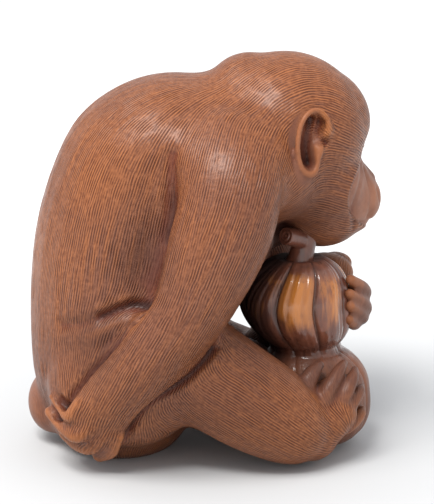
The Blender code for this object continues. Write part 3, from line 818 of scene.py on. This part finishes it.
def part_by_height(mesh, wood):
    """Saws the skin along level planes into closed pieces; its shading runs on across the cuts."""
    points = read_vectors(mesh.vertices, "co")
    names = [layer.name for layer in mesh.attributes
             if layer.domain == "POINT" and layer.data_type == "FLOAT"]
    values = {name: read_values(mesh, name) for name in names if not name.startswith(".")}
    normals = read_vectors(mesh.vertex_normals, "vector")
    whole = stand("whole", mesh)
    cuts = [share * SOLID_HIGH.z for share in COURSES]
    for name, low, high in zip(COURSE_NAMES, cuts, cuts[1:]):
        reach = 1.0 if high == cuts[-1] else high
        block = stand("block", level_box(low, reach))
        saw = whole.modifiers.new("saw", "BOOLEAN")
        saw.operation = "INTERSECT"
        saw.solver = "MANIFOLD"
        saw.object = block
        made = as_modified(whole)
        whole.modifiers.remove(saw)
        bpy.data.objects.remove(block)
        made.name = name
        source = nearest_points(points, read_vectors(made.vertices, "co"))
        for key, kept in values.items():
            if key not in made.attributes:
                made.attributes.new(key, "FLOAT", "POINT")
            made.attributes[key].data.foreach_set("value", kept[source].astype(np.float32))
        add_piece(made, name, wood)
        made.normals_split_custom_set_from_vertices(normals[source].tolist())
    bpy.data.objects.remove(whole)


def gourd_skin():
    """Points of the ribbed gourd level by level, with the depth of the groove at each."""
    axis = smooth_stations(GOURD_AXIS, 12)
    around, levels = GOURD_MESH
    turn = np.linspace(0, math.tau, around, endpoint=False)
    foot, top = 0.0, axis[-1][2]
    heights = foot + (top - foot) * 0.5 * (1 - np.cos(np.linspace(0, math.pi, levels)))
    middle = np.stack([np.interp(heights, axis[:, 2], axis[:, k]) for k in (0, 1)], 1)
    bulges = [girth * np.maximum(0, 1 - np.abs((heights - level) / half) ** fullness) ** 0.5
              for level, half, girth, fullness in GOURD_BULBS]
    waist = (heights > GOURD_BULBS[0][0]) & (heights < GOURD_BULBS[1][0])
    radius = np.maximum(np.maximum(*bulges), np.where(waist, GOURD_WAIST, 0.4))
    # The ribs wander a little, and finer ones run beside the main grooves
    sway = 0.06 * np.sin(heights * 0.21 + 1.0)[:, None] + 0.03 * np.sin(3 * turn + heights[:, None] * 0.13)
    angle = turn[None] - RIB_TURN + sway
    main = 1 - np.abs(np.sin(GOURD_RIBS * angle / 2)) ** 0.5
    fine = (0.5 + 0.5 * np.cos(GOURD_RIBS * 3 * angle + 0.8 * np.sin(2 * turn))) ** 3
    waver = 1.3 * np.sin(5 * turn + heights[:, None] * 0.1)
    finest = (0.5 + 0.5 * np.cos(GOURD_RIBS * 7 * angle + waver)) ** 2
    upper = ramp(heights, 33.0, 42.0)[:, None]
    plain = 1 - 0.6 * ramp(-heights, -27.0, -22.0)[:, None]
    main *= plain
    scar = (0.012 * fine + 0.004 * finest) * plain + (0.012 * fine + 0.005 * finest) * upper
    girth = radius[:, None] * (1 - RIB_DEPTH * main - scar)
    lift = np.where(heights > 40, -2.2 * np.maximum(0, 1 - radius / 6.0), 0)
    points = np.stack([middle[:, :1] + girth * np.cos(turn), middle[:, 1:] + girth * np.sin(turn),
                       np.repeat((heights + lift)[:, None], around, 1)], -1)
    rise = np.repeat((heights / top)[:, None], around, 1)
    return points, np.clip(main + 0.25 * fine, 0, 1), rise


def make_gourd(wood):
    around, levels = GOURD_MESH
    points, groove, rise = gourd_skin()
    grid = np.arange(levels * around).reshape(levels, around)
    a, b = grid[:-1], grid[1:]
    faces = np.stack([a, np.roll(a, -1, 1), np.roll(b, -1, 1), b], -1).reshape(-1, 4)
    mesh = bpy.data.meshes.new("gourd")
    mesh.from_pydata(into_frame(points.reshape(-1, 3)).tolist(), [],
                     faces.tolist() + [grid[0][::-1].tolist(), grid[-1].tolist()])
    write_values(mesh, "groove", groove.ravel())
    write_values(mesh, "rise", rise.ravel())
    turn = np.linspace(0, math.tau, around, endpoint=False)
    # Amber shows most on one rib of the open side, and again on a few of the others
    front = np.zeros(around)
    for middle, share in AMBER_RIBS:
        off = np.angle(np.exp(1j * (turn - math.radians(middle))))
        front = np.maximum(front, share * np.exp(-((off / math.radians(21)) ** 4)))
    write_values(mesh, "front", np.tile(front, levels))
    # Painted shade darkens the side against the chest, fading out down the lower bulb
    inner = ramp(-np.cos(turn), 0.38, 0.78)
    write_values(mesh, "shaded", (inner[None] * ramp(rise[:, :1], 0.30, 0.55)).ravel())
    add_piece(mesh, "gourd", wood)


def make_stem(wood):
    """The cut stem that holds the chin, and its lopped side branch."""
    clay = bmesh.new()
    add_loft(clay, STEM, side=(1, 0, 0), tip=0.3)
    add_loft(clay, STEM_BRANCH, tip=0.15)
    stem = remade(mesh_from(clay, "gourd_stem"), 0.22)
    relax(stem, 3, 0.5, 0.3)
    points = read_vectors(stem.vertices, "co")
    normals = read_vectors(stem.vertex_normals, "vector")
    face = np.array((16.6, -8.6, 52.9))
    axis = unit_rows(np.array((-2.4, -2.4, 0.9)))
    spread = np.linalg.norm(np.cross(points - face, axis), axis=1)
    near = np.linalg.norm(points - face, axis=1) < 3.0
    rings = (0.5 - 0.5 * np.cos(spread / 1.9 * math.tau * 2.0)) * ramp(-spread, -1.9, -1.5)
    points -= normals * (0.30 * rings * near)[:, None]
    write_points(stem, into_frame(points))
    # The stem takes a quarter of the gourd's painted shade
    for name, value in (("groove", 0.0), ("rise", 0.57), ("front", 0.2), ("shaded", 0.25)):
        write_values(stem, name, np.full(len(points), value))
    add_piece(stem, "gourd_stem", wood)


class Signal:
    """A socket of a node tree; arithmetic on it adds the nodes that do it."""

    def __init__(self, tree, socket):
        self.tree = tree
        self.socket = socket

    def node(self, kind, settings=None, **inputs):
        """Any other node: its settings first, then its values and links by socket name."""
        made = self.tree.nodes.new(kind)
        for key, value in (settings or {}).items():
            setattr(made, key, value)
        for key, value in inputs.items():
            socket = next(s for s in made.inputs if s.enabled and s.name == key.replace("_", " "))
            self.feed(socket, value)
        return made

    def feed(self, socket, value):
        if isinstance(value, Signal):
            self.tree.links.new(value.socket, socket)
        elif socket.type == "RGBA":
            socket.default_value = (*value, 1)
        else:
            socket.default_value = value

    def maths(self, operation, *values, clamp=False):
        made = self.tree.nodes.new("ShaderNodeMath")
        made.operation = operation
        made.use_clamp = clamp
        for socket, value in zip(made.inputs, values):
            self.feed(socket, value)
        return Signal(self.tree, made.outputs[0])

    def __add__(self, other):
        return self.maths("ADD", self, other)

    __radd__ = __add__

    def __mul__(self, other):
        return self.maths("MULTIPLY", self, other)

    __rmul__ = __mul__

    def __sub__(self, other):
        return self.maths("SUBTRACT", self, other)

    def __rsub__(self, other):
        return self.maths("SUBTRACT", other, self)

    def __truediv__(self, other):
        return self.maths("DIVIDE", self, other)

    def __rtruediv__(self, other):
        return self.maths("DIVIDE", other, self)

    def __neg__(self):
        return self * -1.0

    def slope(self, low, high):
        """0 below low, 1 above high, an easy slope between; turned round if low is the larger."""
        made = self.node("ShaderNodeMapRange", {"interpolation_type": "SMOOTHSTEP"}, Value=self,
                         From_Min=low, From_Max=high)
        return Signal(self.tree, made.outputs["Result"])

    def mix(self, first, second):
        """The first colour where this is 0, the second where it is 1."""
        made = self.tree.nodes.new("ShaderNodeMix")
        made.data_type = "RGBA"
        self.feed(made.inputs[0], self)
        self.feed(made.inputs[6], first)
        self.feed(made.inputs[7], second)
        return Signal(self.tree, made.outputs[2])

    def attribute(self, name):
        return Signal(self.tree, self.node("ShaderNodeAttribute", {"attribute_name": name}).outputs["Fac"])

    def strokes(self, pitch, reach):
        """Wavy lines of a pitch, each about the reach in length, that run along the lie of the coat."""
        across = self.node("ShaderNodeAttribute", {"attribute_name": "across"}).outputs["Vector"]
        made = self.node("ShaderNodeTexGabor", {"gabor_type": "3D"}, Vector=self, Scale=1 / reach,
                         Frequency=reach / pitch, Anisotropy=1.0,
                         Orientation=Signal(self.tree, across))
        return Signal(self.tree, made.outputs["Value"])

    def noise(self, scale, detail=3.0, vector=None, rough=0.5):
        made = self.node("ShaderNodeTexNoise", Scale=scale, Detail=detail, Roughness=rough)
        self.tree.links.new((vector or self).socket, made.inputs["Vector"])
        return Signal(self.tree, made.outputs["Fac"])


def new_wood(name):
    """A material, its shader, and the place in the piece's own coordinates to build on."""
    wood = bpy.data.materials.new(name)
    wood.use_nodes = True
    tree = wood.node_tree
    place = Signal(tree, tree.nodes.new("ShaderNodeTexCoord").outputs["Object"])
    return wood, tree.nodes["Principled BSDF"], place


def finish_wood(shader, place, colour, roughness, relief, depth):
    """Joins colour, roughness and the finest relief, of the given depth in metres, to the shader."""
    place.feed(shader.inputs["Base Color"], colour)
    place.feed(shader.inputs["Roughness"], roughness)
    bump = place.node("ShaderNodeBump", Height=relief, Distance=depth, Strength=1.0)
    place.feed(shader.inputs["Normal"], Signal(place.tree, bump.outputs["Normal"]))


def furred_wood():
    """Oiled boxwood: engraved strokes with dark floors and worn, orange ridges; bare skin is smoother; dark
    wax and painted shade darken the hollows.
    """
    wood, shader, place = new_wood("furred_wood")
    stroke = place.attribute("stroke")
    hair = place.strokes(HAIR_PITCH, HAIR_REACH)
    coat = place.attribute("coat")
    sunken = place.attribute("recess")
    broad = place.noise(26.0, 2.0)
    patchy = place.noise(130.0, 4.0)
    grain = place.noise(900.0, 3.0, rough=0.6)
    lines = hair * 0.78 + stroke * 0.22
    ridge = (lines + (grain - 0.5) * 0.30).slope(0.36, 0.64)
    streak = place.strokes(STREAK_PITCH, STREAK_REACH)
    warm = (broad * 0.75 + patchy * 0.12 + streak * 0.32 + (stroke - 0.5) * 0.2).slope(0.38, 0.84)
    fur = ridge.mix(warm.mix(*FUR_FLOORS), warm.mix(*FUR_RIDGES))
    pores = (patchy * 0.8 + grain * 0.3).slope(0.35, 0.8)
    smooth = place.attribute("face").mix(pores.mix(*BARE_SKIN), pores.mix(*FACE_SKIN))
    body = coat.mix(smooth, fur)
    toe = place.attribute("toe")
    worn = (-sunken).slope(0.10, 0.65) * (0.55 - toe * 0.5) * (0.6 + coat * 0.4)
    body = worn.mix(body, WORN_EDGE)
    # Reddish wax and painted shade in the hollows
    body = (sunken.slope(0.05, 0.45) * 0.55).mix(body, RED_HOLLOW_WAX_AND_SHADE)
    body = (toe * (0.25 + patchy * 0.75)).mix(body, DARK_TOE)
    # Dark wax and painted shade, strongest in the hollow between chest, arms and gourd
    wax_and_shade = place.attribute("wax_and_shade")
    body = wax_and_shade.mix(body, DARK_WAX_AND_SHADE)
    # Near-black painted shade in the deepest hollows
    deep = sunken.slope(0.30, 1.2)
    body = (deep * 0.9).mix(body, DEEP_HOLLOW_SHADE)
    rough = 0.43 - ridge * coat * 0.10 + (grain - 0.5) * 0.16 + deep * 0.15 + wax_and_shade * 0.4
    relief = grain * 0.3 + hair * coat * (0.35 + patchy * 1.3)
    finish_wood(shader, place, body, rough, relief, 0.00028)
    place.feed(shader.inputs["Coat Weight"], ridge * coat * (1.0 - wax_and_shade) * 0.22)
    shader.inputs["Coat Roughness"].default_value = 0.27
    shader.inputs["Specular IOR Level"].default_value = 0.20
    return wood


def gourd_wood():
    """Lacquered wood: amber in the light, dark streaks down the ribs, nearly black in the grooves; painted
    shade on the side against the chest.
    """
    wood, shader, place = new_wood("gourd_wood")
    groove = place.attribute("groove")
    rise = place.attribute("rise")
    axes = place.node("ShaderNodeSeparateXYZ", Vector=place)
    x, y, z = (Signal(place.tree, axes.outputs[k]) for k in range(3))
    drawn_out = place.node("ShaderNodeCombineXYZ", X=x, Y=y, Z=z * 0.12)
    upright = Signal(place.tree, drawn_out.outputs[0])
    streaks = place.noise(420.0, 4.0, upright, 0.65)
    broad = place.noise(70.0, 3.0, upright, 0.5)
    patchy = place.noise(160.0, 4.0)
    front = place.attribute("front")
    wander = (patchy - 0.5) * 0.20 + (streaks - 0.5) * 0.16
    lit = (rise + wander).slope(0.66, 0.77) * (rise + wander * 0.5).slope(0.955, 0.90)
    bared = (front + (broad - 0.5) * 1.2 + (streaks - 0.5) * 1.3).slope(0.30, 0.75)
    body = (streaks * 0.6 + patchy * 0.5).slope(0.35, 0.75).mix(*GOURD_RIND)
    body = (lit * bared * (1.0 - groove * 0.95)).mix(body, GOURD_AMBER)
    body = (streaks.slope(0.58, 0.70) * 0.65).mix(body, GOURD_STREAK)
    body = ((groove + (streaks - 0.5) * 0.8).slope(0.55, 1.0) * 0.6).mix(body, GOURD_GROOVE)
    below = (rise + wander * 0.5).slope(0.53, 0.45)
    plain = (patchy * 0.7 + streaks * 0.4).slope(0.35, 0.75).mix(*GOURD_FOOT)
    body = (below * (1.0 - groove * 0.6)).mix(body, plain)
    # Painted shade on the side against the chest
    shaded = place.attribute("shaded")
    body = (shaded * 0.88).mix(body, GOURD_SHADE)
    crest = rise.slope(0.93, 0.98)
    rough = 0.24 + (streaks - 0.5) * 0.15 + groove * 0.25 + below * 0.22 + crest * 0.4 + shaded * 0.4
    leathery = place.noise(620.0, 3.0) * (rise.slope(0.75, 0.55) + 0.25)
    finish_wood(shader, place, body, rough, streaks * 0.8 + leathery, 0.00022)
    place.feed(shader.inputs["Coat Weight"], (0.6 - below * 0.5) * (1.0 - crest) * (1.0 - shaded))
    shader.inputs["Coat Roughness"].default_value = 0.09
    shader.inputs["Specular IOR Level"].default_value = 0.35
    return wood


def plain_paper():
    """The floor's pale paper, with painted shade making it a little darker round the figure."""
    paper, shader, place = new_wood("pale_paper")
    away = place.node("ShaderNodeVectorMath", {"operation": "LENGTH"})
    place.tree.links.new(place.socket, away.inputs[0])
    far = Signal(place.tree, away.outputs["Value"]).slope(0.0, PAPER_PALES_AT)
    place.feed(shader.inputs["Base Color"], far.mix(*PAPER))
    shader.inputs["Roughness"].default_value = 0.9
    return paper


def write_layers(skin):
    """What the comb and the materials need to know of each point of the skin."""
    points = read_vectors(skin.vertices, "co")
    normals = read_vectors(skin.vertex_normals, "vector")
    lie = lay_of_the_coat(skin)
    coat = 1 - bare_share(points)
    # The strokes are shallower on the head
    head_away = np.linalg.norm((points - np.array(HEAD_CENTRE)) / 20.0, axis=1)
    write_values(skin, "across", unit_rows(np.cross(normals, lie)))
    write_values(skin, "outward", normals)
    write_values(skin, "coat", coat)
    write_values(skin, "recess", recess(skin))
    write_values(skin, "toe", toe_share(points))
    write_values(skin, "face", face_share(points))
    # Dark wax and painted shade at the listed spots
    write_values(skin, "wax_and_shade", wax_and_shade_share(points))
    write_values(skin, "engraved", coat * (0.65 + 0.35 * ramp(head_away, 0.85, 1.25)))


skin = sculpt()
carved = read_vectors(skin.vertices, "co")
low, high = carved.min(0), carved.max(0)
MIDDLE = (low + high)[:2] / 2
SOLID_MIDDLE = ((SOLID_LOW + SOLID_HIGH) / 2).xy
UNIT = float((SOLID_HIGH.z - CLEARANCE) / high[2])
write_layers(skin)
write_points(skin, into_frame(carved))
furred = furred_wood()
lacquered = gourd_wood()
skin = through(combing(), skin, Pitch=STROKE_PITCH, Reach=STROKE_REACH, Depth=STROKE_DEPTH, Wood=furred)
part_by_height(skin, furred)
make_gourd(lacquered)
make_stem(lacquered)

floor = bpy.data.meshes.new("floor")
floor.from_pydata([(-2, -2, 0), (2, -2, 0), (2, 2, 0), (-2, 2, 0)], [], [(0, 1, 2, 3)])
ground = stand("floor", floor)
floor.materials.append(plain_paper())

AIM = Vector(into_frame(np.array(CAMERA_AIM)))
EYE = AIM + CAMERA_REACH * UNIT * Vector((0, -math.cos(CAMERA_RISE), math.sin(CAMERA_RISE)))
camera = stand("camera", bpy.data.cameras.new("camera"))
camera.data.sensor_width = SENSOR_MM
camera.data.lens = LENS_MM
camera.location = EYE
camera.rotation_euler = (AIM - EYE).to_track_quat("-Z", "Y").to_euler()
bpy.context.scene.camera = camera


def add_light(name, place, size, power, colour=(1, 1, 1)):
    lamp = stand(name, bpy.data.lights.new(name, "AREA"))
    lamp.data.shape = "DISK"
    lamp.data.size = size
    lamp.data.energy = power
    lamp.data.color = colour
    lamp.location = place
    lamp.rotation_euler = (AIM - Vector(place)).to_track_quat("-Z", "Y").to_euler()


add_light("key", (-0.36, -0.40, 0.88), 0.50, 9.0, (1.0, 0.98, 0.95))
add_light("window", (-0.12, -0.54, 0.82), 0.20, 2.9, (1.0, 0.99, 0.97))
world = bpy.data.worlds.new("studio")
bpy.context.scene.world = world
world.use_nodes = True
sky = world.node_tree.nodes["Background"].inputs
sky["Color"].default_value = (0.97, 0.98, 1.0, 1)
sky["Strength"].default_value = 0.98
bpy.context.scene.view_settings.view_transform = "Standard"
